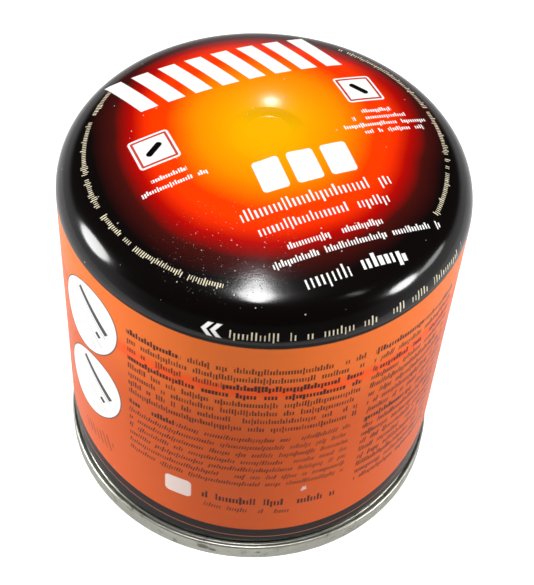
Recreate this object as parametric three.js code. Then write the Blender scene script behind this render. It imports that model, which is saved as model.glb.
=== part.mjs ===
// Pierceable gas canister: one sealed steel can, modelled as one solid of revolution.
// Millimetres, +Z up, origin at the centre of the circle that the can stands on.
import * as THREE from "three";

// Driving dimensions of the shell
const HEIGHT = 96; // foot to the top of the boss
const BODY_RADIUS = 44.5; // straight printed wall
const SHOULDER_RADIUS = 8.9; // round corner between the wall and the crown
const SHOULDER_START = 81.2; // height where the wall starts to turn in
const CROWN_HEIGHT = 95.4; // height the crown would have on the axis without the boss
const BOSS_FOOT_RADIUS = 8; // where the boss leaves the crown
const BOSS_FLAT_RADIUS = 4.6; // flat seat in the middle of the boss

// Neck and double seam
const NECK_TOP = 8; // the wall is straight above this
const NECK_RADIUS = 43.6; // shell just above the seam
const SEAM_RADIUS = 45.1; // widest circle of the can
const SEAM_HEIGHT = 4.4;
const SEAM_TOP_ROUND = 0.55; // radius of the rolled upper edge
const SEAM_FOOT_ROUND = 0.35; // radius of the edges beside the foot
const SEAM_THICKNESS = 1.35;

// Base end, seen from below
const COUNTERSINK_DEPTH = 5.2; // top of the wall inside the seam
const COUNTERSINK_TAPER = 0.3; // how much that wall leans in
const PANEL_ROUND = 1.2; // round corner at the panel's edge
const PANEL_RISE = 6; // how far the panel's middle bulges up into the can

// Heights of the printed fields on the wall and radii of those on the crown
const BAND_TOP = 12.4;
const BLACK_EDGE = 80;
const GLOW_RADIUS = 33;
const GLOW_HEART_RADIUS = 17;

const AROUND = 72; // facets around the can
const ROUND_STEPS = 6; // facets across each small round edge

const boreRadius = SEAM_RADIUS - SEAM_THICKNESS;

// Points of an arc about (r, z), from one angle to another, in degrees from the outward direction.
function arc(r, z, radius, from, to, steps) {
  const points = [];
  for (let i = 0; i <= steps; i++) {
    const angle = THREE.MathUtils.degToRad(from + ((to - from) * i) / steps);
    points.push(
      new THREE.Vector2(r + radius * Math.cos(angle), z + radius * Math.sin(angle)),
    );
  }
  return points;
}

// Underside from the axis out to the foot: a shallow dome, a round corner and the wall inside the seam.
function baseEndProfile() {
  const edgeRadius = boreRadius - COUNTERSINK_TAPER - PANEL_ROUND;
  const domeRadius = (edgeRadius ** 2 + PANEL_RISE ** 2) / (2 * PANEL_RISE);
  const domeTop = COUNTERSINK_DEPTH + PANEL_RISE;
  const points = [new THREE.Vector2(0, domeTop)];
  const steps = 10;
  for (let i = 1; i <= steps; i++) {
    const r = (edgeRadius * i) / steps;
    const drop = domeRadius - Math.sqrt(domeRadius ** 2 - r ** 2);
    points.push(new THREE.Vector2(r, domeTop - drop));
  }
  const cornerZ = COUNTERSINK_DEPTH - PANEL_ROUND;
  points.push(...arc(edgeRadius, cornerZ, PANEL_ROUND, 75, 0, ROUND_STEPS - 1));
  return points;
}

// Outside of the double seam: inner foot edge, flat foot, outer foot edge, seam wall and rolled top.
function seamProfile() {
  const round = SEAM_FOOT_ROUND;
  const topCentre = SEAM_RADIUS - SEAM_TOP_ROUND;
  return [
    ...arc(boreRadius + round, round, round, 180, 270, 3),
    ...arc(SEAM_RADIUS - round, round, round, 270, 360, 3),
    ...arc(topCentre, SEAM_HEIGHT - SEAM_TOP_ROUND, SEAM_TOP_ROUND, 0, 110, ROUND_STEPS),
  ];
}

// The neck eases from the seam out to the wall along half a cosine wave.
function neckProfile() {
  const steps = 5;
  const start = SEAM_HEIGHT - SEAM_TOP_ROUND / 2;
  const points = [];
  for (let i = 0; i <= steps; i++) {
    const share = i / steps;
    const ease = (1 - Math.cos(Math.PI * share)) / 2;
    points.push(
      new THREE.Vector2(
        NECK_RADIUS + (BODY_RADIUS - NECK_RADIUS) * ease,
        start + (NECK_TOP - start) * share,
      ),
    );
  }
  return points;
}

// Crown radius: the sphere through CROWN_HEIGHT on the axis that the shoulder arc touches.
function crownSphere() {
  const reach = BODY_RADIUS - SHOULDER_RADIUS;
  const rise = CROWN_HEIGHT - SHOULDER_START;
  const radius =
    (reach ** 2 + rise ** 2 - SHOULDER_RADIUS ** 2) / (2 * (rise - SHOULDER_RADIUS));
  return { radius, centre: CROWN_HEIGHT - radius };
}

// Top of the shell from the wall to the axis: shoulder arc, crown arc, boss with a soft foot and a flat.
function topProfile() {
  const sphere = crownSphere();
  const reach = BODY_RADIUS - SHOULDER_RADIUS;
  const meet = THREE.MathUtils.radToDeg(Math.atan2(SHOULDER_START - sphere.centre, reach));
  const points = arc(reach, SHOULDER_START, SHOULDER_RADIUS, 0, meet, 10);
  const crownZ = (r) => sphere.centre + Math.sqrt(sphere.radius ** 2 - r ** 2);
  const meetRadius = sphere.radius * Math.cos(THREE.MathUtils.degToRad(meet));
  const crownSteps = 7;
  for (let i = 1; i <= crownSteps; i++) {
    const r = meetRadius + ((BOSS_FOOT_RADIUS - meetRadius) * i) / crownSteps;
    points.push(new THREE.Vector2(r, crownZ(r)));
  }
  const bossSteps = 5;
  for (let i = 1; i <= bossSteps; i++) {
    const share = i / bossSteps;
    const r = BOSS_FOOT_RADIUS + (BOSS_FLAT_RADIUS - BOSS_FOOT_RADIUS) * share;
    const ease = share * share * (3 - 2 * share);
    points.push(new THREE.Vector2(r, crownZ(r) + (HEIGHT - crownZ(r)) * ease));
  }
  points.push(new THREE.Vector2(0, HEIGHT));
  return points;
}

// The printed fields from the foot up: each takes the faces whose middle lies inside its limits.
const fields = [
  {
    name: "bare tinplate",
    holds: (r, z) => z < SEAM_HEIGHT || (r < boreRadius && z < HEIGHT / 2),
    material: new THREE.MeshStandardMaterial({ color: 0xa9aa9b, roughness: 0.35, metalness: 1 }),
  },
  {
    name: "dark band",
    holds: (r, z) => z < BAND_TOP,
    material: new THREE.MeshStandardMaterial({ color: 0x120806, roughness: 0.3, metalness: 0 }),
  },
  {
    name: "orange wall",
    holds: (r, z) => z < BLACK_EDGE,
    material: new THREE.MeshStandardMaterial({ color: 0xd9693a, roughness: 0.35, metalness: 0 }),
  },
  {
    name: "glow heart",
    holds: (r) => r < GLOW_HEART_RADIUS,
    material: new THREE.MeshStandardMaterial({ color: 0xffa000, roughness: 0.2, metalness: 0 }),
  },
  {
    name: "glow edge",
    holds: (r) => r < GLOW_RADIUS,
    material: new THREE.MeshStandardMaterial({ color: 0xd62e00, roughness: 0.2, metalness: 0 }),
  },
  {
    name: "black shoulder",
    holds: () => true,
    material: new THREE.MeshStandardMaterial({ color: 0x0a0605, roughness: 0.2, metalness: 0 }),
  },
];

// Sorts the triangles of a lathed surface by printed field, so that each field is one material group.
function groupByField(geometry) {
  const place = geometry.getAttribute("position");
  const faces = geometry.getIndex().array;
  const sorted = fields.map(() => []);
  for (let i = 0; i < faces.length; i += 3) {
    const corners = [faces[i], faces[i + 1], faces[i + 2]];
    const radii = corners.map((c) => Math.hypot(place.getX(c), place.getY(c)));
    const heights = corners.map((c) => place.getZ(c));
    const r = (Math.min(...radii) + Math.max(...radii)) / 2;
    const z = (Math.min(...heights) + Math.max(...heights)) / 2;
    sorted[fields.findIndex((field) => field.holds(r, z))].push(...corners);
  }
  geometry.setIndex(sorted.flat());
  let start = 0;
  sorted.forEach((corners, i) => {
    geometry.addGroup(start, corners.length, i);
    start += corners.length;
  });
}

// The wall has rings of points at the printed edges, so that the fields end on them.
const wallRings = [BAND_TOP, BLACK_EDGE].map((z) => new THREE.Vector2(BODY_RADIUS, z));

const profile = [
  ...baseEndProfile(),
  ...seamProfile(),
  ...neckProfile(),
  ...wallRings,
  ...topProfile(),
];

const geometry = new THREE.LatheGeometry(profile, AROUND);
geometry.rotateX(Math.PI / 2);
groupByField(geometry);

const canister = new THREE.Mesh(
  geometry,
  fields.map((field) => field.material),
);
canister.name = "canister";

const part = new THREE.Group();
part.add(canister);

export default part;
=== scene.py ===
# Looks of a pierceable gas canister: a glossy printed steel shell and a worn tinplate base end.
import functools
import math

import bpy
import numpy as np
from bpy.props import FloatProperty, FloatVectorProperty, IntProperty, PointerProperty
from mathutils import Matrix, Vector


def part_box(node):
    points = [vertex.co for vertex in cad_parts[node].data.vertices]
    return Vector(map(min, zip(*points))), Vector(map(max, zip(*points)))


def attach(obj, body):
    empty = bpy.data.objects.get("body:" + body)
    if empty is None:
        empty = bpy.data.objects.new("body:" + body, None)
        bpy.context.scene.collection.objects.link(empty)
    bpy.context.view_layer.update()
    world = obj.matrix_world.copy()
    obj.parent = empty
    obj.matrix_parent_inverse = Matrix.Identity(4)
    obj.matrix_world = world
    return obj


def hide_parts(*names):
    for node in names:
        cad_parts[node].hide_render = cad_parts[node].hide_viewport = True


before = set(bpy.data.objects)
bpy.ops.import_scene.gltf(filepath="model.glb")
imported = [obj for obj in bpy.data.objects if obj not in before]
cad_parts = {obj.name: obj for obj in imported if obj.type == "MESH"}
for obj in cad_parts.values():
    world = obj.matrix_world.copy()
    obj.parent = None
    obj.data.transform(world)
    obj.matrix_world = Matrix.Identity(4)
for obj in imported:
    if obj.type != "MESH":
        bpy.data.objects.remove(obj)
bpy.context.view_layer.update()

bl_info = {
    "name": "Gas canister looks",
    "version": (1, 0, 0),
    "blender": (4, 5, 0),
    "location": "View3D > Sidebar > Canister",
    "description": "Builds the printed shell, the base end and the studio of a pierceable gas canister",
    "category": "Object",
}

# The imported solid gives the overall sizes, in metres
FOOT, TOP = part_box("canister")
TOTAL_HEIGHT = TOP.z
SEAM_RADIUS = TOP.x
MM = 0.001


def size(name, description, default):
    """A length that a user may change, in metres."""
    return FloatProperty(name=name, description=description, default=default, unit="LENGTH", precision=5)


def tint(name, description, default):
    """A colour that a user may change, as linear red, green and blue."""
    return FloatVectorProperty(
        name=name, description=description, default=default, subtype="COLOR", min=0, max=1
    )


class ShellSizes(bpy.types.PropertyGroup):
    """Sizes of the drawn shell."""

    body_radius: size("Body radius", "Radius of the straight printed wall", 44.5 * MM)
    shoulder_radius: size("Shoulder radius", "Round corner between the wall and the crown", 8.9 * MM)
    shoulder_start: size("Shoulder start", "Height where the wall starts to turn in", 81.2 * MM)
    crown_height: size("Crown height", "Height of the crown on the axis without the boss", 95.4 * MM)
    boss_foot: size("Boss foot", "Radius where the boss leaves the crown", 8 * MM)
    boss_flat: size("Boss flat", "Radius of the flat seat on the boss", 4.6 * MM)
    neck_radius: size("Neck radius", "Radius just above the seam", 43.6 * MM)
    neck_start: size("Neck start", "Height where the neck begins to widen", 4.125 * MM)
    neck_top: size("Neck top", "Height where the wall becomes straight", 8 * MM)
    sheet: size("Sheet", "Thickness of the steel sheet", 0.3 * MM)
    waviness: size("Waviness", "Depth of the long, faint waves in the drawn sheet", 0.05 * MM)


class BaseSizes(bpy.types.PropertyGroup):
    """Sizes of the double seam and the pressed base end."""

    seam_height: size("Seam height", "Height of the rolled seam", 4.4 * MM)
    seam_thickness: size("Seam thickness", "Thickness of the rolled seam", 1.35 * MM)
    top_round: size("Top round", "Radius of the rolled upper edge", 0.55 * MM)
    foot_round: size("Foot round", "Radius of the edges beside the foot", 0.35 * MM)
    countersink: size("Countersink", "Height of the wall inside the seam", 5.2 * MM)
    taper: size("Taper", "How much that wall leans in", 0.3 * MM)
    panel_round: size("Panel round", "Round corner at the panel's edge", 1.2 * MM)
    panel_rise: size("Panel rise", "How far the panel's middle bulges into the can", 6 * MM)


class PrintColours(bpy.types.PropertyGroup):
    """Inks of the litho print and the bare metal."""

    heart: tint("Glow heart", "Yellow in the middle of the glow", (0.70, 0.345, 0.0))
    amber: tint("Glow amber", "Amber around the heart", (0.86, 0.215, 0.0))
    ember: tint("Glow ember", "Red-orange of the outer glow", (0.92, 0.035, 0.0))
    deep: tint("Glow edge", "Dark red at the glow's edge", (0.36, 0.002, 0.001))
    smoke: tint("Glow smoke", "Brownish black around the glow", (0.045, 0.004, 0.003))
    black: tint("Black", "Black of the shoulder and the lower band", (0.003, 0.002, 0.002))
    white: tint("White", "White ink", (0.94, 0.93, 0.91))
    cream: tint("Cream", "Thin cream lines", (0.80, 0.72, 0.52))
    orange: tint("Orange", "Orange of the wall", (0.67, 0.095, 0.006))
    pale: tint("Pale orange", "Lighter orange near the shoulder", (0.92, 0.18, 0.019))
    band: tint("Bright band", "Saturated band across the wall", (0.98, 0.095, 0.002))
    brown: tint("Brown", "Dark brown of the rows of marks", (0.055, 0.010, 0.004))
    steel: tint("Steel", "Bare tinplate", (0.42, 0.42, 0.365))
    stain: tint("Stain", "Stains and rust specks on the tinplate", (0.06, 0.05, 0.035))


class StudioValues(bpy.types.PropertyGroup):
    """Camera and lights."""

    camera_place: FloatVectorProperty(
        name="Camera place", description="Where the camera stands",
        default=(0.0, -0.20762, 0.28940), subtype="TRANSLATION", unit="LENGTH",
    )
    pan: FloatProperty(
        name="Pan", description="Turn to the right", default=0.011, subtype="ANGLE", unit="ROTATION"
    )
    tilt: FloatProperty(
        name="Tilt", description="Turn downwards", default=0.867, subtype="ANGLE", unit="ROTATION"
    )
    roll: FloatProperty(
        name="Roll", description="Roll about the line of sight", default=-0.081,
        subtype="ANGLE", unit="ROTATION",
    )
    lens: FloatProperty(
        name="Lens", description="Focal length for a 36 mm sensor", default=84.23, unit="CAMERA"
    )
    around: IntProperty(
        name="Facets around", description="Facets around the can", default=320, min=24, max=400
    )


# Surfaces of revolution


def arc(centre_r, centre_z, radius, start, end, steps):
    """Points (r, z) of an arc: r = centre_r + radius cos a, z = centre_z + radius sin a.

    The angle a runs from start to end, in degrees.
    """
    angle = np.radians(np.linspace(start, end, steps + 1))
    return np.column_stack([centre_r + radius * np.cos(angle), centre_z + radius * np.sin(angle)])


def inset(profile, depth):
    """The profile moved by depth to its right-hand side: p - depth n, n the tangent turned left."""
    tangent = np.gradient(profile, axis=0)
    tangent /= np.linalg.norm(tangent, axis=1, keepdims=True)
    normal = np.column_stack([-tangent[:, 1], tangent[:, 0]])
    return profile - depth * normal


def revolve(name, profile, around, wave=None):
    """A closed mesh: the profile (r, z), which starts and ends on the axis, is turned about Z.

    Point (i, j) is (r_i cos t_j, r_i sin t_j, z_i) with t_j = 2 pi j / around. The two ends are one
    point each. wave(angle, r, z) gives how far a point is pressed in, towards the axis on the wall and
    down on the crown.
    """
    angle = 2 * np.pi * np.arange(around) / around
    r, z = profile[1:-1, 0], profile[1:-1, 1]
    t, rr = np.meshgrid(angle, r)
    zz = np.repeat(z[:, None], around, axis=1)
    if wave is not None:
        press = wave(t, rr, zz)
        share = np.clip(rr / r.max(), 0, 1) ** 4
        rr = rr - press * share
        zz = zz - press * (1 - share) * (zz > TOTAL_HEIGHT / 2)
    rings = np.stack([rr * np.cos(t), rr * np.sin(t), zz], axis=-1).reshape(-1, 3)
    ends = np.array([[0, 0, profile[0, 1]], [0, 0, profile[-1, 1]]])
    points = np.concatenate([rings, ends])
    count = len(r)
    row, column = np.meshgrid(np.arange(count - 1), np.arange(around), indexing="ij")
    here = row * around + column
    beside = row * around + (column + 1) % around
    quads = np.stack([here, here + around, beside + around, beside], axis=-1).reshape(-1, 4)
    first = np.arange(around)
    following = (first + 1) % around
    last_ring = (count - 1) * around
    top_fan = np.column_stack([np.full(around, len(rings)), first, following])
    bottom_fan = np.column_stack(
        [np.full(around, len(rings) + 1), following + last_ring, first + last_ring]
    )
    mesh = bpy.data.meshes.new(name)
    mesh.from_pydata(points.tolist(), [], quads.tolist() + top_fan.tolist() + bottom_fan.tolist())
    mesh.update()
    mesh.shade_smooth()
    piece = bpy.data.objects.new(name, mesh)
    bpy.context.scene.collection.objects.link(piece)
    return piece


WAVES_START = 0.012  # radius where the waves begin, in metres, so that the boss stays smooth
WAVES_FADE = 0.01  # how far they take to reach their full depth


def shell_waves(depth, seed=11):
    """Long shallow waves: depth times the mean of six squared sines of the angle and the height."""
    rng = np.random.default_rng(seed)
    turns = np.array([2, 3, 4, 5, 7, 9])
    climbs = rng.uniform(20, 90, len(turns))
    phases = rng.uniform(0, 2 * np.pi, len(turns))

    def wave(angle, r, z):
        total = np.zeros_like(angle)
        for turn, climb, phase in zip(turns, climbs, phases):
            total += np.sin((turn * angle + climb * (z + r) + phase) / 2) ** 2
        inner = np.clip((r - WAVES_START) / WAVES_FADE, 0, 1)
        return depth * total / len(turns) * inner

    return wave


def crown_profile(sizes):
    """Shell from the axis out and down to the shoulder's foot: flat, boss, crown sphere, shoulder arc."""
    reach = sizes.body_radius - sizes.shoulder_radius
    rise = sizes.crown_height - sizes.shoulder_start
    radius = (reach**2 + rise**2 - sizes.shoulder_radius**2) / (2 * (rise - sizes.shoulder_radius))
    centre = sizes.crown_height - radius
    meet = math.atan2(sizes.shoulder_start - centre, reach)

    def crown_z(r):
        return centre + np.sqrt(radius**2 - r**2)

    flat_r = np.linspace(0, sizes.boss_flat, 9)
    flat = np.column_stack([flat_r, np.full(9, TOTAL_HEIGHT)])
    share = np.linspace(0, 1, 17)[1:]
    boss_r = sizes.boss_flat + (sizes.boss_foot - sizes.boss_flat) * share
    ease = 1 - 0.9 * share - 0.1 * share**2 * (3 - 2 * share)
    boss = np.column_stack([boss_r, crown_z(boss_r) + (TOTAL_HEIGHT - crown_z(boss_r)) * ease])
    sphere_r = np.linspace(sizes.boss_foot, radius * math.cos(meet), 41)[1:]
    sphere = np.column_stack([sphere_r, crown_z(sphere_r)])
    shoulder = arc(reach, sizes.shoulder_start, sizes.shoulder_radius, math.degrees(meet), 0, 28)[1:]
    return np.concatenate([flat, boss, sphere, shoulder])


def shell_profile(sizes, base):
    """Closed section of the shell: outside to the neck, the cut edge inside the seam, and back inside."""
    start = base.seam_height + sizes.sheet / 3
    wall_z = np.linspace(sizes.shoulder_start, sizes.neck_top, 25)[1:-1]
    wall = np.column_stack([np.full(len(wall_z), sizes.body_radius), wall_z])
    neck_z = np.linspace(sizes.neck_top, start, 15)
    share = (neck_z - sizes.neck_start) / (sizes.neck_top - sizes.neck_start)
    ease = (1 - np.cos(np.pi * share)) / 2
    neck = np.column_stack([sizes.neck_radius + (sizes.body_radius - sizes.neck_radius) * ease, neck_z])
    outside = np.concatenate([crown_profile(sizes), wall, neck])
    inside = inset(outside, sizes.sheet)[::-1]
    inside[0, 1] += sizes.sheet
    inside[-1, 0] = 0
    return np.concatenate([outside, inside])


SEAM_HOLLOW = 0.12 * MM  # how far the middle of the seam's face lies inwards


def base_profile(sizes, sheet):
    """Closed section of the base end: panel's top, rolled seam, foot, wall inside the seam, underside."""
    bore = SEAM_RADIUS - sizes.seam_thickness
    edge = bore - sizes.taper - sizes.panel_round
    dome_radius = (edge**2 + sizes.panel_rise**2) / (2 * sizes.panel_rise)
    dome_top = sizes.countersink + sizes.panel_rise
    corner_z = sizes.countersink - sizes.panel_round
    r = np.linspace(0, edge, 33)
    under = np.column_stack([r, dome_top - dome_radius + np.sqrt(dome_radius**2 - r**2)])
    corner = arc(edge, corner_z, sizes.panel_round, 75, 0, 10)
    over = under[:-1] + np.array([0, sheet])
    over_corner = arc(edge, corner_z, sizes.panel_round + sheet, 75, 10, 10)
    top_centre = SEAM_RADIUS - sizes.top_round
    roll = arc(top_centre, sizes.seam_height - sizes.top_round, sizes.top_round, 110, 0, 14)
    face_z = np.linspace(sizes.seam_height - sizes.top_round, sizes.foot_round, 12)[1:-1]
    hollow = SEAM_HOLLOW * np.sin(np.pi * np.linspace(0, 1, 12)[1:-1])
    face = np.column_stack([SEAM_RADIUS - hollow, face_z])
    outer_foot = arc(SEAM_RADIUS - sizes.foot_round, sizes.foot_round, sizes.foot_round, 360, 270, 8)
    inner_foot = arc(bore + sizes.foot_round, sizes.foot_round, sizes.foot_round, 270, 180, 8)
    return np.concatenate(
        [over, over_corner, roll, face, outer_foot, inner_foot, corner[::-1], under[:-1][::-1]]
    )


# Arithmetic on a material's numbers


class Number:
    """A number that a material works out at each point. Arithmetic on it adds Math nodes to its tree."""

    def __init__(self, tree, socket):
        self.tree = tree
        self.socket = socket

    def calc(self, operation, *others):
        """The Math node of that name on this number and others."""
        node = self.tree.nodes.new("ShaderNodeMath")
        node.operation = operation
        for entry, value in zip(node.inputs, (self, *others)):
            feed(self.tree, entry, value)
        return Number(self.tree, node.outputs[0])

    def __add__(self, other):
        return self.calc("ADD", other)

    def __sub__(self, other):
        return self.calc("SUBTRACT", other)

    def __mul__(self, other):
        return self.calc("MULTIPLY", other)

    def __truediv__(self, other):
        return self.calc("DIVIDE", other)

    def __rsub__(self, other):
        return self.calc("MULTIPLY_ADD", -1.0, other)

    def __abs__(self):
        return self.calc("ABSOLUTE")

    __rmul__ = __mul__


def feed(tree, entry, value):
    """Links a Number or a socket to an input, or sets the input's own value."""
    if isinstance(value, Number):
        value = value.socket
    if isinstance(value, bpy.types.NodeSocket):
        tree.links.new(value, entry)
    else:
        entry.default_value = value


def low(a, b):
    """The smaller of two numbers: both masks at once."""
    return a.calc("MINIMUM", b)


def high(a, b):
    """The larger of two numbers: either mask."""
    return a.calc("MAXIMUM", b)


def any_of(masks):
    """The largest of several numbers: any of the masks."""
    return functools.reduce(high, masks)


def inside(distance, soft=0.12):
    """1 where the signed distance is negative and 0 where it is positive, with a soft edge in mm."""
    node = distance.tree.nodes.new("ShaderNodeMapRange")
    feed(distance.tree, node.inputs["Value"], distance)
    node.inputs["From Min"].default_value = soft
    node.inputs["From Max"].default_value = -soft
    return Number(distance.tree, node.outputs[0])


def between(value, start, end, soft=0.12):
    """1 where value lies from start to end."""
    return inside(abs(value - (start + end) / 2) - abs(end - start) / 2, soft)


def join(tree, x, y=0.0, z=0.0):
    """A vector of three numbers."""
    node = tree.nodes.new("ShaderNodeCombineXYZ")
    for entry, value in zip(node.inputs, (x, y, z)):
        feed(tree, entry, value)
    return node.outputs[0]


def reach(a, b):
    """Length of the vector (a, b)."""
    node = a.tree.nodes.new("ShaderNodeVectorMath")
    node.operation = "LENGTH"
    feed(a.tree, node.inputs[0], join(a.tree, a, b))
    return Number(a.tree, node.outputs["Value"])


def chance(tree, x, y, seed):
    """Three random numbers from 0 to 1, the same all over a whole-numbered cell."""
    node = tree.nodes.new("ShaderNodeTexWhiteNoise")
    node.noise_dimensions = "3D"
    feed(tree, node.inputs["Vector"], join(tree, x, y, float(seed)))
    parts = tree.nodes.new("ShaderNodeSeparateColor")
    tree.links.new(node.outputs["Color"], parts.inputs[0])
    return [Number(tree, socket) for socket in parts.outputs]


def noise(tree, vector, scale, detail=2.0, rough=0.5):
    """Blender's noise, from 0 to 1, with scale cells to a unit of the vector."""
    node = tree.nodes.new("ShaderNodeTexNoise")
    feed(tree, node.inputs["Vector"], vector)
    node.inputs["Scale"].default_value = scale
    node.inputs["Detail"].default_value = detail
    node.inputs["Roughness"].default_value = rough
    return Number(tree, node.outputs[0])


def stretch(value, start, end, low_value=0.0, high_value=1.0, smooth=False):
    """value from start..end carried to low_value..high_value, and held there beyond."""
    node = value.tree.nodes.new("ShaderNodeMapRange")
    node.interpolation_type = "SMOOTHSTEP" if smooth else "LINEAR"
    for key, number in zip(
        ("Value", "From Min", "From Max", "To Min", "To Max"), (value, start, end, low_value, high_value)
    ):
        feed(value.tree, node.inputs[key], number)
    return Number(value.tree, node.outputs[0])


def ink(tree, under, over, mask):
    """Colour over laid on colour under where the mask is 1."""
    node = tree.nodes.new("ShaderNodeMix")
    node.data_type = "RGBA"
    feed(tree, node.inputs["Factor"], mask)
    for key, value in ((6, under), (7, over)):
        feed(tree, node.inputs[key], value if isinstance(value, bpy.types.NodeSocket) else (*value, 1.0))
    return node.outputs[2]


def specks(tree, place, scale, share, radius, seed):
    """Round specks: a random point in each cell of a Voronoi pattern, kept in that share of the cells."""
    node = tree.nodes.new("ShaderNodeTexVoronoi")
    node.inputs["Scale"].default_value = scale
    shifted = tree.nodes.new("ShaderNodeVectorMath")
    feed(tree, shifted.inputs[0], place)
    shifted.inputs[1].default_value = (seed * 3.7, seed * 1.3, seed * 2.1)
    tree.links.new(shifted.outputs[0], node.inputs["Vector"])
    parts = tree.nodes.new("ShaderNodeSeparateColor")
    tree.links.new(node.outputs["Color"], parts.inputs[0])
    size_share = Number(tree, parts.outputs[0])
    kept = Number(tree, parts.outputs[1]).calc("LESS_THAN", share)
    distance = Number(tree, node.outputs["Distance"])
    dot = stretch(distance / (radius * (size_share + 0.3)), 1.0, 0.6)
    return dot * kept


# Print: boxes, rows of plain bars and the varnish over them. All lengths are in millimetres


def box_distance(x, y, half_width, half_height, corner=0.0):
    """Signed distance to a rounded box about the origin, in the units of x and y."""
    qx = abs(x) - (half_width - corner)
    qy = abs(y) - (half_height - corner)
    outside = reach(qx.calc("MAXIMUM", 0.0), qy.calc("MAXIMUM", 0.0))
    within = high(qx, qy).calc("MINIMUM", 0.0)
    return outside + within - corner


def marks(u, line, y, pitch, height, seed, stem=0.5, gap=0.15, lean=0.0):
    """Plain upright bars: bar = floor(u / pitch), each with a random top and some with a lower foot.

    u runs along the row and y up from its foot. A random share of the steps, each two bars wide, is
    left empty. line is a number that sets one row's random draws.
    """
    tree = u.tree
    along = u - y * lean
    bar = (along / pitch).calc("FLOOR")
    _, empty, _ = chance(tree, (along / (pitch * 2)).calc("FLOOR"), line, seed)
    tall, deep, wide = chance(tree, bar, line, seed + 0.5)
    top = stretch(tall, 0.70, 0.72, height * 0.68, height)
    foot = stretch(deep, 0.88, 0.90, 0.0, height * -0.28)
    half = stretch(wide, 0.0, 1.0, pitch * stem * 0.38, pitch * stem * 0.62)
    sides = abs(along - (bar + 0.5) * pitch) - half
    ends = abs(y - (top + foot) * 0.5) - (top - foot) * 0.5
    return low(inside(high(sides, ends), 0.08), empty.calc("GREATER_THAN", gap))


def mark_row(u, v, start, end, bottom, height, pitch, seed, **looks):
    """One row of marks from start to end, with its foot at bottom."""
    return low(marks(u, 0.0, v - bottom, pitch, height, seed, **looks), between(u, start, end, 0.05))


ROW_LIFT = 0.22  # share of the spacing that lies below a row's foot


def mark_block(u, v, left, right, first, count, spacing, pitch, height, seed, **looks):
    """Several rows of marks: line = floor((first - v) / spacing), so row 0 lies right under first."""
    line = ((v * -1.0 + first) / spacing).calc("FLOOR")
    y = v - (line * -spacing + (first - spacing))
    body = marks(u, line, y - spacing * ROW_LIFT, pitch, height, seed, **looks)
    return low(body, low(between(u, left, right, 0.05), between(line, -0.1, count - 0.9, 0.05)))


def new_material(name):
    """An empty node material with its output, and the object's coordinates in millimetres."""
    material = bpy.data.materials.new(name)
    material.use_nodes = True
    tree = material.node_tree
    tree.nodes.clear()
    output = tree.nodes.new("ShaderNodeOutputMaterial")
    shader = tree.nodes.new("ShaderNodeBsdfPrincipled")
    tree.links.new(shader.outputs[0], output.inputs["Surface"])
    source = tree.nodes.new("ShaderNodeTexCoord")
    scaled = tree.nodes.new("ShaderNodeVectorMath")
    scaled.operation = "SCALE"
    scaled.inputs["Scale"].default_value = 1 / MM
    tree.links.new(source.outputs["Object"], scaled.inputs[0])
    parts = tree.nodes.new("ShaderNodeSeparateXYZ")
    tree.links.new(scaled.outputs[0], parts.inputs[0])
    x, y, z = [Number(tree, socket) for socket in parts.outputs]
    return material, tree, shader, scaled.outputs[0], x, y, z


def turned(x, y, degrees):
    """Coordinates in a frame turned by that angle: u = x cos a + y sin a, v = y cos a - x sin a."""
    c, s = math.cos(math.radians(degrees)), math.sin(math.radians(degrees))
    return x * c + y * s, y * c - x * s


def sway(angle, lag):
    """A wave from 0 to 2 with two crests around the can: 1 - cos(2 angle - lag), lag in degrees."""
    return 1.0 - (angle * 2.0 - math.radians(lag)).calc("COSINE")


def bump(tree, height, distance, strength=1.0, after=None):
    """A bump of that height in millimetres, laid on an earlier one."""
    node = tree.nodes.new("ShaderNodeBump")
    node.inputs["Strength"].default_value = strength
    node.inputs["Distance"].default_value = distance * MM
    feed(tree, node.inputs["Height"], height)
    if after is not None:
        tree.links.new(after, node.inputs["Normal"])
    return node.outputs[0]


def varnish(tree, shader, place, weight, spray=None):
    """Clear varnish of that weight over the inks, with a faint orange peel.

    It has fine droplets where spray is near 1.
    """
    shader.inputs["Roughness"].default_value = 0.45
    shader.inputs["Specular IOR Level"].default_value = 0.0
    shader.inputs["Coat Weight"].default_value = weight
    shader.inputs["Coat Roughness"].default_value = 0.13
    shader.inputs["Coat IOR"].default_value = 1.37
    peel = bump(tree, noise(tree, place, 0.55, 1.0), 0.004)
    if spray is not None:
        drops = high(specks(tree, place, 0.9, 0.5, 0.22, 4), specks(tree, place, 1.9, 0.6, 0.26, 5))
        grain = noise(tree, place, 2.6, 1.0)
        wet = bump(tree, (drops + grain * 0.25) * spray, 0.045, 1.0, peel)
        tree.links.new(wet, shader.inputs["Coat Normal"])
    else:
        tree.links.new(peel, shader.inputs["Coat Normal"])
    tree.links.new(peel, shader.inputs["Normal"])


PRINT_TURN = 26.5  # the crown's print is turned by this angle from +X, in degrees

# Glow: its centre, how much a length in Y counts, how uneven it is, and the length of its colour ramp
GLOW_CENTRE = (0.1, 1.8)
GLOW_Y_SHARE = 0.96
GLOW_UNEVENNESS = 4.0
GLOW_LENGTH = 40.0
GLOW_BACKWARD = 0.17  # share of Y by which the glow reaches further back
GLOW_RIM_SLOPE = 1.6  # near the rim the ramp runs by the radius, with this slope and offset
GLOW_RIM_OFFSET = 27.0

# Radii of the circles along which the print is measured around the can
CROWN_EDGE_RADIUS = 38.4
SHOULDER_FOOT_RADIUS = 44.0
WALL_RADIUS = 44.5
SEAM_FACE_RADIUS = 45.0
RING_CENTRE = -0.29  # X of the middle of the rows around the crown's edge, a little off the axis

# The shoulder's arc, as in the shell's sizes
ARC_START = 81.2
ARC_RADIUS = 8.9

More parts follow.
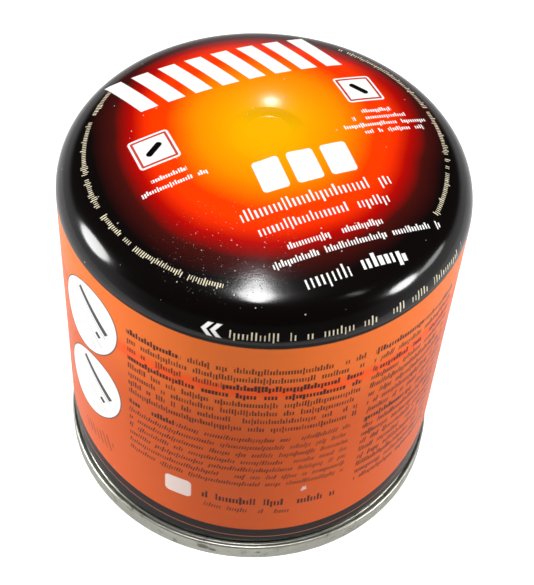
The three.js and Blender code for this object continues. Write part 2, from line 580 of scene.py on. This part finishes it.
# Print on the crown in its turned frame, u to the right and v upwards
BAR_PITCH = 6.2
BAR_HALF = 1.9
BAR_SLANT = 0.28
BARS_LIMITS = (-23.3, 26.0)  # where the row of bars starts and ends
BARS_V = 25.0
BARS_HALF_HEIGHT = 6.6
BLOCK_V = -10.6
TILE_HALF = 4.4
TILES = ((-23.0, 6.0, 0.0), (25.3, 8.8, 90.0))  # u, v and the turn of the bar on it
BLOCKS = ((-4.2, 2.9), (3.4, 2.9), (11.0, 2.9))  # u and half width
CROWN_ROWS = (  # start, end, foot, height, pitch, width of a bar as a share of the pitch, empty share
    (-14.0, 19.0, -19.5, 2.7, 1.02, 0.34, 0.10),
    (-12.0, 17.0, -23.7, 2.2, 0.94, 0.34, 0.10),
    (-8.0, 12.8, -28.2, 1.4, 0.62, 0.45, 0.12),
    (-13.2, 24.6, -31.2, 1.4, 0.62, 0.45, 0.15),
    (-7.9, 1.8, -37.2, 2.9, 1.15, 0.34, 0.0),
    (4.6, 11.6, -36.7, 2.9, 1.35, 0.66, 0.0),
    (12.3, 14.4, -36.9, 2.2, 1.2, 0.66, 0.0),
    (-26.6, -19.0, -2.6, 1.1, 0.55, 0.55, 0.0),
    (-29.7, -15.6, -5.1, 1.1, 0.55, 0.55, 0.1),
    (22.2, 29.3, 0.7, 1.1, 0.55, 0.5, 0.0),
    (19.0, 32.8, -1.4, 1.1, 0.55, 0.5, 0.12),
    (16.0, 35.8, -3.5, 1.1, 0.55, 0.5, 0.12),
    (18.0, 34.2, -5.6, 1.1, 0.55, 0.5, 0.12),
)
EDGE_ROWS = ((41, -114, -10, 37.5), (42, 66, 158, 37.7))  # seed, start and end in degrees, foot's radius
CHEVRONS = (-9.9, -8.1)  # places around the shoulder's foot
CHEVRON_CLIMB = 2.5  # height of their points along the shoulder's arc
SPRAY_CENTRE = (-6.5, -29.0)  # X and Y of the middle of the droplets

# Inks used in one place or two, as linear red, green and blue
TILE_BORDER = (0.45, 0.05, 0.04)
DUST = (0.5, 0.45, 0.42)
# painted glint: pale dots on the droplets near the front highlight
DROPLET_GLINT = (0.42, 0.33, 0.33)
PLATE = (0.88, 0.72, 0.66)
PANEL_OUTLINE = (0.05, 0.03, 0.03)
PANEL_BAR = (0.06, 0.06, 0.065)
FOOT_BAND = (0.012, 0.004, 0.003)
# painted highlight: thin reddish line along the crease where the wall turns into the neck
NECK_CREASE_HIGHLIGHT = (0.42, 0.13, 0.06)
CHIP = (0.80, 0.62, 0.50)
CLEAN_TIN = (0.62, 0.61, 0.55)


def crown_print(colours):
    """Material of the crown and the shoulder: an off-centre glow on black, with blocks and rows of marks."""
    material, tree, shader, place, x, y, z = new_material("crown_print")
    u, v = turned(x, y, PRINT_TURN)
    r = reach(x - RING_CENTRE, y)
    angle = x.calc("ARCTAN2", y * -1.0)

    # Glow: distance from its own centre, a little uneven
    unevenness = noise(tree, place, 0.035, 2.0)
    glow = reach(x - GLOW_CENTRE[0], (y - GLOW_CENTRE[1]) * GLOW_Y_SHARE)
    glow = glow + (unevenness - 0.5) * GLOW_UNEVENNESS
    glow = glow - y.calc("MAXIMUM", 0.0) * GLOW_BACKWARD
    glow = high(glow, r * GLOW_RIM_SLOPE - GLOW_RIM_OFFSET)
    ramp = tree.nodes.new("ShaderNodeValToRGB")
    steps = (
        (0.0, colours.heart), (5.0, colours.heart), (14.5, colours.amber), (21.4, colours.ember),
        (24.0, colours.ember), (28.8, colours.deep), (32.4, colours.smoke), (37.0, colours.black),
    )
    elements = ramp.color_ramp.elements
    for i, (radius, colour) in enumerate(steps):
        element = elements[i] if i < 2 else elements.new(1.0)
        element.position = radius / GLOW_LENGTH
        element.color = (*colour, 1.0)
    feed(tree, ramp.inputs[0], glow / GLOW_LENGTH)
    colour = ramp.outputs[0]

    # Bold slanted bars along the upper left
    slanted = u + (v - 24.8) * BAR_SLANT
    bar = (slanted + 23.5).calc("MODULO", BAR_PITCH) - 2.4
    bars = low(inside(abs(bar) - BAR_HALF), inside(abs(v - BARS_V) - BARS_HALF_HEIGHT))
    colour = ink(tree, colour, colours.white, low(bars, between(slanted, *BARS_LIMITS)))

    # Two plain white tiles with a thin red border
    for tile_u, tile_v, mark_turn in TILES:
        tu, tv = u - tile_u, v - tile_v
        tile = box_distance(tu, tv, TILE_HALF, TILE_HALF, 0.8)
        colour = ink(tree, colour, colours.white, inside(tile))
        colour = ink(tree, colour, TILE_BORDER, inside(abs(tile + 0.7) - 0.3, 0.1))
        mu, mv = turned(tu, tv, 35.0 + mark_turn)
        colour = ink(tree, colour, colours.black, inside(box_distance(mu, mv, 2.3, 0.75, 0.7)))

    # Three bold plain blocks
    for block_u, half in BLOCKS:
        block = box_distance(u - block_u + (v - BLOCK_V) * -0.05, v - BLOCK_V, half, 4.0, 0.8)
        colour = ink(tree, colour, colours.white, inside(block))

    # Rows of marks under the blocks and beside the tiles
    rows = [
        mark_row(u, v, start, end, bottom, height, pitch, seed, stem=stem, gap=gap)
        for seed, (start, end, bottom, height, pitch, stem, gap) in enumerate(CROWN_ROWS, 21)
    ]
    colour = ink(tree, colour, colours.white, any_of(rows))

    # Rows of small marks around the crown's edge
    around = angle * CROWN_EDGE_RADIUS
    for seed, start, end, bottom in EDGE_ROWS:
        start, end = math.radians(start) * CROWN_EDGE_RADIUS, math.radians(end) * CROWN_EDGE_RADIUS
        row = mark_row(around, r, start, end, bottom, 1.15, 0.54, seed, stem=0.34, gap=0.14)
        colour = ink(tree, colour, colours.cream, row)

    # Spaced marks and two chevrons on the shoulder, measured along its arc
    climb = ((z - ARC_START) / ARC_RADIUS).calc("ARCSINE") * ARC_RADIUS
    foot = angle * SHOULDER_FOOT_RADIUS
    spaced = mark_row(foot, climb, -5.0, 52.5, 1.3, 1.9, 0.84, 43, stem=0.28, gap=0.16)
    colour = ink(tree, colour, colours.cream, spaced)
    for offset in CHEVRONS:
        pointed = abs(foot - offset + abs(climb - CHEVRON_CLIMB) * -0.8) - 0.52
        chevron = low(inside(pointed), inside(abs(climb - CHEVRON_CLIMB) - 1.6))
        colour = ink(tree, colour, colours.white, chevron)

    # Dust specks, and pale dots on the droplets around the front highlight, a painted glint of that
    # highlight
    dust = specks(tree, place, 0.45, 0.25, 0.08, 1)
    colour = ink(tree, colour, DUST, dust * 0.8)
    from_spray = reach(x - SPRAY_CENTRE[0], (y - SPRAY_CENTRE[1]) * 1.3)
    spray = stretch(from_spray, 17.0, 5.0, 0.0, 1.0, True)
    droplets = high(specks(tree, place, 0.9, 0.5, 0.14, 6), specks(tree, place, 1.7, 0.5, 0.16, 7))
    colour = ink(tree, colour, DROPLET_GLINT, droplets * spray * 0.8)
    feed(tree, shader.inputs["Base Color"], colour)
    varnish(tree, shader, place, 1.0, spray)
    return material


BRIGHT_BAND = 65.9  # height of the middle of the bright band
BLACK_EDGE = 80.05  # lowest height of the black shoulder's edge, and how much it swings around the can
BLACK_EDGE_SWING = 0.7
DARK_FOOT = 12.0  # the same for the top of the dark foot
DARK_FOOT_SWING = 2.0
BOLD_ROWS = (  # left, right and foot
    (-27.6, -15.0, 71.8), (-6.0, 24.0, 66.1), (-27.6, 24.0, 63.3), (-27.6, -16.0, 48.0),
    (26.4, 40.0, 71.6), (28.0, 52.0, 65.4), (26.4, 38.0, 47.9),
)
PANELS = ((-41.0, 64.6), (-40.8, 41.6))  # place around the can and height
PANEL_TURN = -38.0  # degrees
PANEL_HALF = (9.3, 12.6)  # half width and half height
PANEL_BARS = (  # each bar's shift, lift, half width and half thickness
    (-0.6, 4.8, 6.0, 0.85), (-0.4, 3.2, 6.4, 0.1), (0.0, -1.0, 7.6, 0.09),
    (1.0, -4.2, 6.2, 0.09), (4.6, 0.8, 0.8, 0.7),
)


def wall_print(colours):
    """Material of the wall: orange with a brighter band, rows of marks, white panels and a dark foot."""
    material, tree, shader, place, x, y, z = new_material("wall_print")
    angle = x.calc("ARCTAN2", y * -1.0)
    across = angle * WALL_RADIUS

    shade = noise(tree, place, 0.03, 2.0)
    colour = ink(tree, colours.orange, colours.pale, stretch(z + shade * 10.0, 52.0, 82.0, 0.0, 1.0, True))

    # Bright band across the wall, soft above and below
    band = z + (shade - 0.5) * 2.0 - BRIGHT_BAND
    colour = ink(tree, colour, colours.band, stretch(abs(band), 3.2, 0.6, 0.0, 0.9, True))

    # Two blocks of marks one above the other, and a column of them on the right
    upper = mark_block(across, z, -27.6, 24.0, 74.0, 8.0, 2.84, 0.60, 1.8, 51, stem=0.56)
    lower = mark_block(across, z, -27.6, 23.0, 50.2, 7.0, 2.88, 0.58, 1.6, 52, stem=0.50, lean=0.25)
    column = mark_block(across, z, 26.4, 52.0, 73.8, 17.0, 2.95, 0.58, 1.8, 53, stem=0.64, lean=0.2)
    heavy = [
        mark_row(across, z, left, right, bottom, 1.8, 0.72, seed, stem=0.74, gap=0.1)
        for seed, (left, right, bottom) in enumerate(BOLD_ROWS, 61)
    ]
    cleared = [
        low(between(across, left - 0.4, right + 0.4), between(z, bottom - 0.55, bottom + 2.0))
        for left, right, bottom in BOLD_ROWS
    ]
    plain = any_of([upper, lower, column]) * (1.0 - any_of(cleared))
    colour = ink(tree, colour, colours.brown, high(plain * 0.95, any_of(heavy)))

    # Bold row at the foot of the blocks, a finer one below it and a pale plate beside them
    run = z + across * 0.065
    bold = mark_row(across, run, -9.6, 23.0, 23.0, 2.6, 0.78, 55, stem=0.62, gap=0.12)
    thin = mark_row(across, run, -8.8, 11.0, 19.6, 1.8, 0.60, 56, stem=0.42, gap=0.12, lean=0.2)
    colour = ink(tree, colour, colours.brown, high(bold, thin))
    plate = box_distance(across + 15.0, z - 25.0, 3.2, 3.2, 1.2)
    colour = ink(tree, colour, PLATE, inside(plate))

    # White panels on the left, with a thin outline and plain bars
    for panel_across, panel_z in PANELS:
        px, pz = turned(across - panel_across, z - panel_z, PANEL_TURN)
        panel = (reach(px / PANEL_HALF[0], pz / PANEL_HALF[1]) - 1.0) * PANEL_HALF[0]
        colour = ink(tree, colour, colours.white, inside(panel))
        colour = ink(tree, colour, PANEL_OUTLINE, inside(abs(panel) - 0.14, 0.1))
        bars = [
            inside(box_distance(px - shift, pz - lift, half, thick, 0.08), 0.1)
            for shift, lift, half, thick in PANEL_BARS
        ]
        colour = ink(tree, colour, PANEL_BAR, any_of(bars))

    # Faint row of marks under the panels, climbing to the right
    climbing = z - (across + 40.0) * 0.1
    faint = mark_row(across, climbing, -45.0, -33.5, 21.0, 5.2, 1.6, 57, stem=0.26, gap=0.1, lean=-0.3)
    colour = ink(tree, colour, colours.brown, faint * 0.75)

    # Black shoulder edge and dark foot, both a little wavy around the can. The thin reddish line near the
    # neck's top is a painted highlight along that crease, and the black below it over the neck is partly
    # print and partly painted shade.
    edge = z - BLACK_EDGE - sway(angle, 10) * BLACK_EDGE_SWING
    colour = ink(tree, colour, colours.black, inside(edge * -1.0, 0.15))
    foot = z - DARK_FOOT - sway(angle, 24) * DARK_FOOT_SWING
    colour = ink(tree, colour, FOOT_BAND, inside(foot, 0.15))
    colour = ink(tree, colour, NECK_CREASE_HIGHLIGHT, inside(abs(foot + 3.15) - 0.16, 0.12))
    colour = ink(tree, colour, colours.black, inside(foot + 3.3, 0.15))

    # A small pale chip in the print, and dust specks
    ragged = (noise(tree, place, 1.4, 2.0) - 0.5) * 2.2
    chip = reach((across - 13.6) * 0.8, (z - 28.0) * 0.6) + ragged - 0.45
    colour = ink(tree, colour, CHIP, inside(chip) * 0.85)
    dust = specks(tree, place, 0.4, 0.2, 0.08, 2)
    colour = ink(tree, colour, DUST, dust * 0.6)
    feed(tree, shader.inputs["Base Color"], colour)
    varnish(tree, shader, place, 0.45)
    return material


# Dark spots on the seam's face: place around the can, height and size
SEAM_SPOTS = ((-8.5, 2.4, 1.5), (-6.2, 1.9, 0.9), (4.6, 2.5, 0.5), (46.5, 3.4, 0.9))


def worn_tinplate(colours):
    """Material of the seam and the base end: dull tinplate with mottled stains and fine scratches."""
    material, tree, shader, place, x, y, z = new_material("worn_tinplate")
    mottle = noise(tree, place, 0.35, 5.0, 0.65)
    fine = noise(tree, place, 2.2, 3.0, 0.6)
    stains = stretch(mottle, 0.56, 0.68) * stretch(fine, 0.35, 0.6)
    colour = ink(tree, colours.steel, colours.stain, stains * 0.75)
    colour = ink(tree, colour, CLEAN_TIN, stretch(mottle, 0.42, 0.30) * 0.5)
    around = x.calc("ARCTAN2", y * -1.0) * SEAM_FACE_RADIUS
    for spot_around, spot_z, spot_size in SEAM_SPOTS:
        spot = reach(around - spot_around, (z - spot_z) * 1.8) + (fine - 0.5) * 2.6 - spot_size
        colour = ink(tree, colour, colours.stain, inside(spot, 0.3) * 0.8)
    feed(tree, shader.inputs["Base Color"], colour)
    shader.inputs["Metallic"].default_value = 1.0
    feed(tree, shader.inputs["Roughness"], stretch(fine, 0.3, 0.7, 0.28, 0.5))
    angle = x.calc("ARCTAN2", y)
    scratches = noise(tree, join(tree, angle * 4.0, z * 6.0, 0.0), 1.0, 3.0)
    rough = bump(tree, scratches, 0.02)
    tree.links.new(bump(tree, stains, 0.02, 1.0, rough), shader.inputs["Normal"])
    return material


# Operators


class CANISTER_OT_shell(bpy.types.Operator):
    """Builds the drawn shell and prints it"""

    bl_idname = "canister.shell"
    bl_label = "Printed shell"

    def execute(self, context):
        scene = context.scene
        sizes = scene.canister_shell
        profile = shell_profile(sizes, scene.canister_base)
        around = scene.canister_studio.around
        piece = revolve("shell", profile, around, shell_waves(sizes.waviness))
        for material in (crown_print(scene.canister_print), wall_print(scene.canister_print)):
            piece.data.materials.append(material)
        heights = np.zeros(len(piece.data.polygons) * 3)
        piece.data.polygons.foreach_get("center", heights)
        below = heights[2::3] < sizes.shoulder_start
        piece.data.polygons.foreach_set("material_index", below.astype(np.int32))
        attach(piece, "root")
        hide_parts("canister")
        return {"FINISHED"}


class CANISTER_OT_base_end(bpy.types.Operator):
    """Builds the rolled seam and the pressed base end"""

    bl_idname = "canister.base_end"
    bl_label = "Base end"

    def execute(self, context):
        scene = context.scene
        profile = base_profile(scene.canister_base, scene.canister_shell.sheet)
        piece = revolve("base_end", profile, scene.canister_studio.around)
        piece.data.materials.append(worn_tinplate(scene.canister_print))
        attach(piece, "root")
        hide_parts("canister")
        return {"FINISHED"}


class CANISTER_OT_studio(bpy.types.Operator):
    """Sets the floor, the lights and the camera"""

    bl_idname = "canister.studio"
    bl_label = "Studio"

    def execute(self, context):
        scene = context.scene
        studio = scene.canister_studio
        make_camera(scene, studio)
        make_floor(scene)
        make_sky(scene)
        for name, azimuth, elevation, distance, width, height, watts in LAMPS:
            make_lamp(scene, name, azimuth, elevation, distance, (width, height), watts)
        scene.view_settings.view_transform = "Standard"
        return {"FINISHED"}


# Each lamp: name, azimuth from +Y towards +X, elevation, distance, width, height, watts
LAMPS = (
    ("overhead", 180, 82, 0.9, 0.14, 0.50, 8.2),
    ("left_box", -93, 12, 0.9, 0.34, 0.36, 8.6),
    ("right_box", 106, 17, 0.9, 0.24, 0.24, 5.4),
    ("right_fade", 88, 13, 0.9, 0.30, 0.14, 0.9),
    ("far_right", 118, 50, 0.9, 0.06, 0.16, 0.12),
    ("behind", 0, 33, 1.2, 0.042, 0.042, 0.3),
)
TARGET = Vector((0.0, 0.0, 0.08))


def make_camera(scene, studio):
    """Camera at its place, turned by pan about Z, tilt about X and roll about its own axis."""
    camera = bpy.data.objects.new("camera", bpy.data.cameras.new("camera"))
    scene.collection.objects.link(camera)
    camera.data.lens = studio.lens
    turn = Matrix.Rotation(-studio.pan, 4, "Z") @ Matrix.Rotation(math.pi / 2 - studio.tilt, 4, "X")
    turn = turn @ Matrix.Rotation(-studio.roll, 4, "Z")
    camera.matrix_world = Matrix.Translation(studio.camera_place) @ turn
    scene.camera = camera


def make_floor(scene):
    """A pale floor: a disc that is white to the camera and reaches further behind the can than in front."""
    angle = np.linspace(0, 2 * np.pi, 64, endpoint=False)
    radius = 0.4
    behind = 0.26
    points = np.column_stack([radius * np.cos(angle), behind + radius * np.sin(angle), np.full(64, FOOT.z)])
    mesh = bpy.data.meshes.new("floor")
    mesh.from_pydata(points.tolist(), [], [list(range(64))])
    floor = bpy.data.objects.new("floor", mesh)
    scene.collection.objects.link(floor)
    material = bpy.data.materials.new("floor")
    material.use_nodes = True
    tree = material.node_tree
    shader = tree.nodes["Principled BSDF"]
    shader.inputs["Base Color"].default_value = (0.55, 0.55, 0.55, 1)
    shader.inputs["Roughness"].default_value = 0.9
    shader.inputs["Specular IOR Level"].default_value = 0.0
    path = tree.nodes.new("ShaderNodeLightPath")
    camera_ray = Number(tree, path.outputs["Is Camera Ray"])
    shader.inputs["Emission Color"].default_value = (1, 1, 1, 1)
    glossy = Number(tree, path.outputs["Is Glossy Ray"])
    mirrored = high(glossy, Number(tree, path.outputs["Is Transmission Ray"]))
    feed(tree, shader.inputs["Emission Strength"], high(camera_ray * 0.7, mirrored * 0.2))
    floor.data.materials.append(material)


def make_sky(scene):
    """World light: white near the horizon at the sides and behind the can, darker overhead and in front."""
    world = bpy.data.worlds.new("studio")
    world.use_nodes = True
    scene.world = world
    tree = world.node_tree
    source = tree.nodes.new("ShaderNodeTexCoord")
    parts = tree.nodes.new("ShaderNodeSeparateXYZ")
    tree.links.new(source.outputs["Generated"], parts.inputs[0])
    height = Number(tree, parts.outputs[2])
    towards_back = Number(tree, parts.outputs[1])
    room = stretch(towards_back, -0.75, -0.1, 0.12, 1.0, True)
    strength = stretch(height, 0.04, 0.30, 0.38, 0.03, True)
    path = tree.nodes.new("ShaderNodeLightPath")
    bright = stretch(height, 0.04, 0.26, 0.75, 0.02, True) * room
    glossy = Number(tree, path.outputs["Is Glossy Ray"])
    mirrored = high(glossy, Number(tree, path.outputs["Is Transmission Ray"]))
    strength = strength * (1.0 - mirrored) + bright * mirrored
    strength = high(strength, Number(tree, path.outputs["Is Camera Ray"]))
    background = tree.nodes["Background"]
    background.inputs["Color"].default_value = (1, 1, 1, 1)
    feed(tree, background.inputs["Strength"], strength)


def make_lamp(scene, name, azimuth, elevation, distance, extent, watts):
    """A soft elliptical lamp that faces the can from that azimuth and elevation, in degrees."""
    light = bpy.data.lights.new(name, "AREA")
    light.shape = "ELLIPSE"
    light.size, light.size_y = extent
    light.energy = watts
    lamp = bpy.data.objects.new(name, light)
    scene.collection.objects.link(lamp)
    a, e = math.radians(azimuth), math.radians(elevation)
    direction = Vector((math.sin(a) * math.cos(e), math.cos(a) * math.cos(e), math.sin(e)))
    lamp.location = TARGET + direction * distance
    lamp.rotation_euler = direction.to_track_quat("Z", "Y").to_euler()


class CANISTER_PT_panel(bpy.types.Panel):
    """Sizes, colours and build buttons"""

    bl_idname = "CANISTER_PT_panel"
    bl_label = "Gas canister"
    bl_space_type = "VIEW_3D"
    bl_region_type = "UI"
    bl_category = "Canister"

    def draw(self, context):
        for group_name in GROUPS:
            group = getattr(context.scene, group_name)
            box = self.layout.box()
            for key in group.bl_rna.properties.keys():
                if key not in ("rna_type", "name"):
                    box.prop(group, key)
        for operator in OPERATORS:
            self.layout.operator(operator.bl_idname)


GROUPS = {
    "canister_shell": ShellSizes,
    "canister_base": BaseSizes,
    "canister_print": PrintColours,
    "canister_studio": StudioValues,
}
OPERATORS = (CANISTER_OT_studio, CANISTER_OT_shell, CANISTER_OT_base_end)


def register():
    for group in GROUPS.values():
        bpy.utils.register_class(group)
    for name, group in GROUPS.items():
        setattr(bpy.types.Scene, name, PointerProperty(type=group))
    for operator in OPERATORS:
        bpy.utils.register_class(operator)
    bpy.utils.register_class(CANISTER_PT_panel)


def unregister():
    bpy.utils.unregister_class(CANISTER_PT_panel)
    for operator in reversed(OPERATORS):
        bpy.utils.unregister_class(operator)
    for name, group in GROUPS.items():
        delattr(bpy.types.Scene, name)
        bpy.utils.unregister_class(group)


def main():
    register()
    bpy.ops.canister.studio()
    bpy.ops.canister.shell()
    bpy.ops.canister.base_end()


if __name__ == "__main__":
    main()
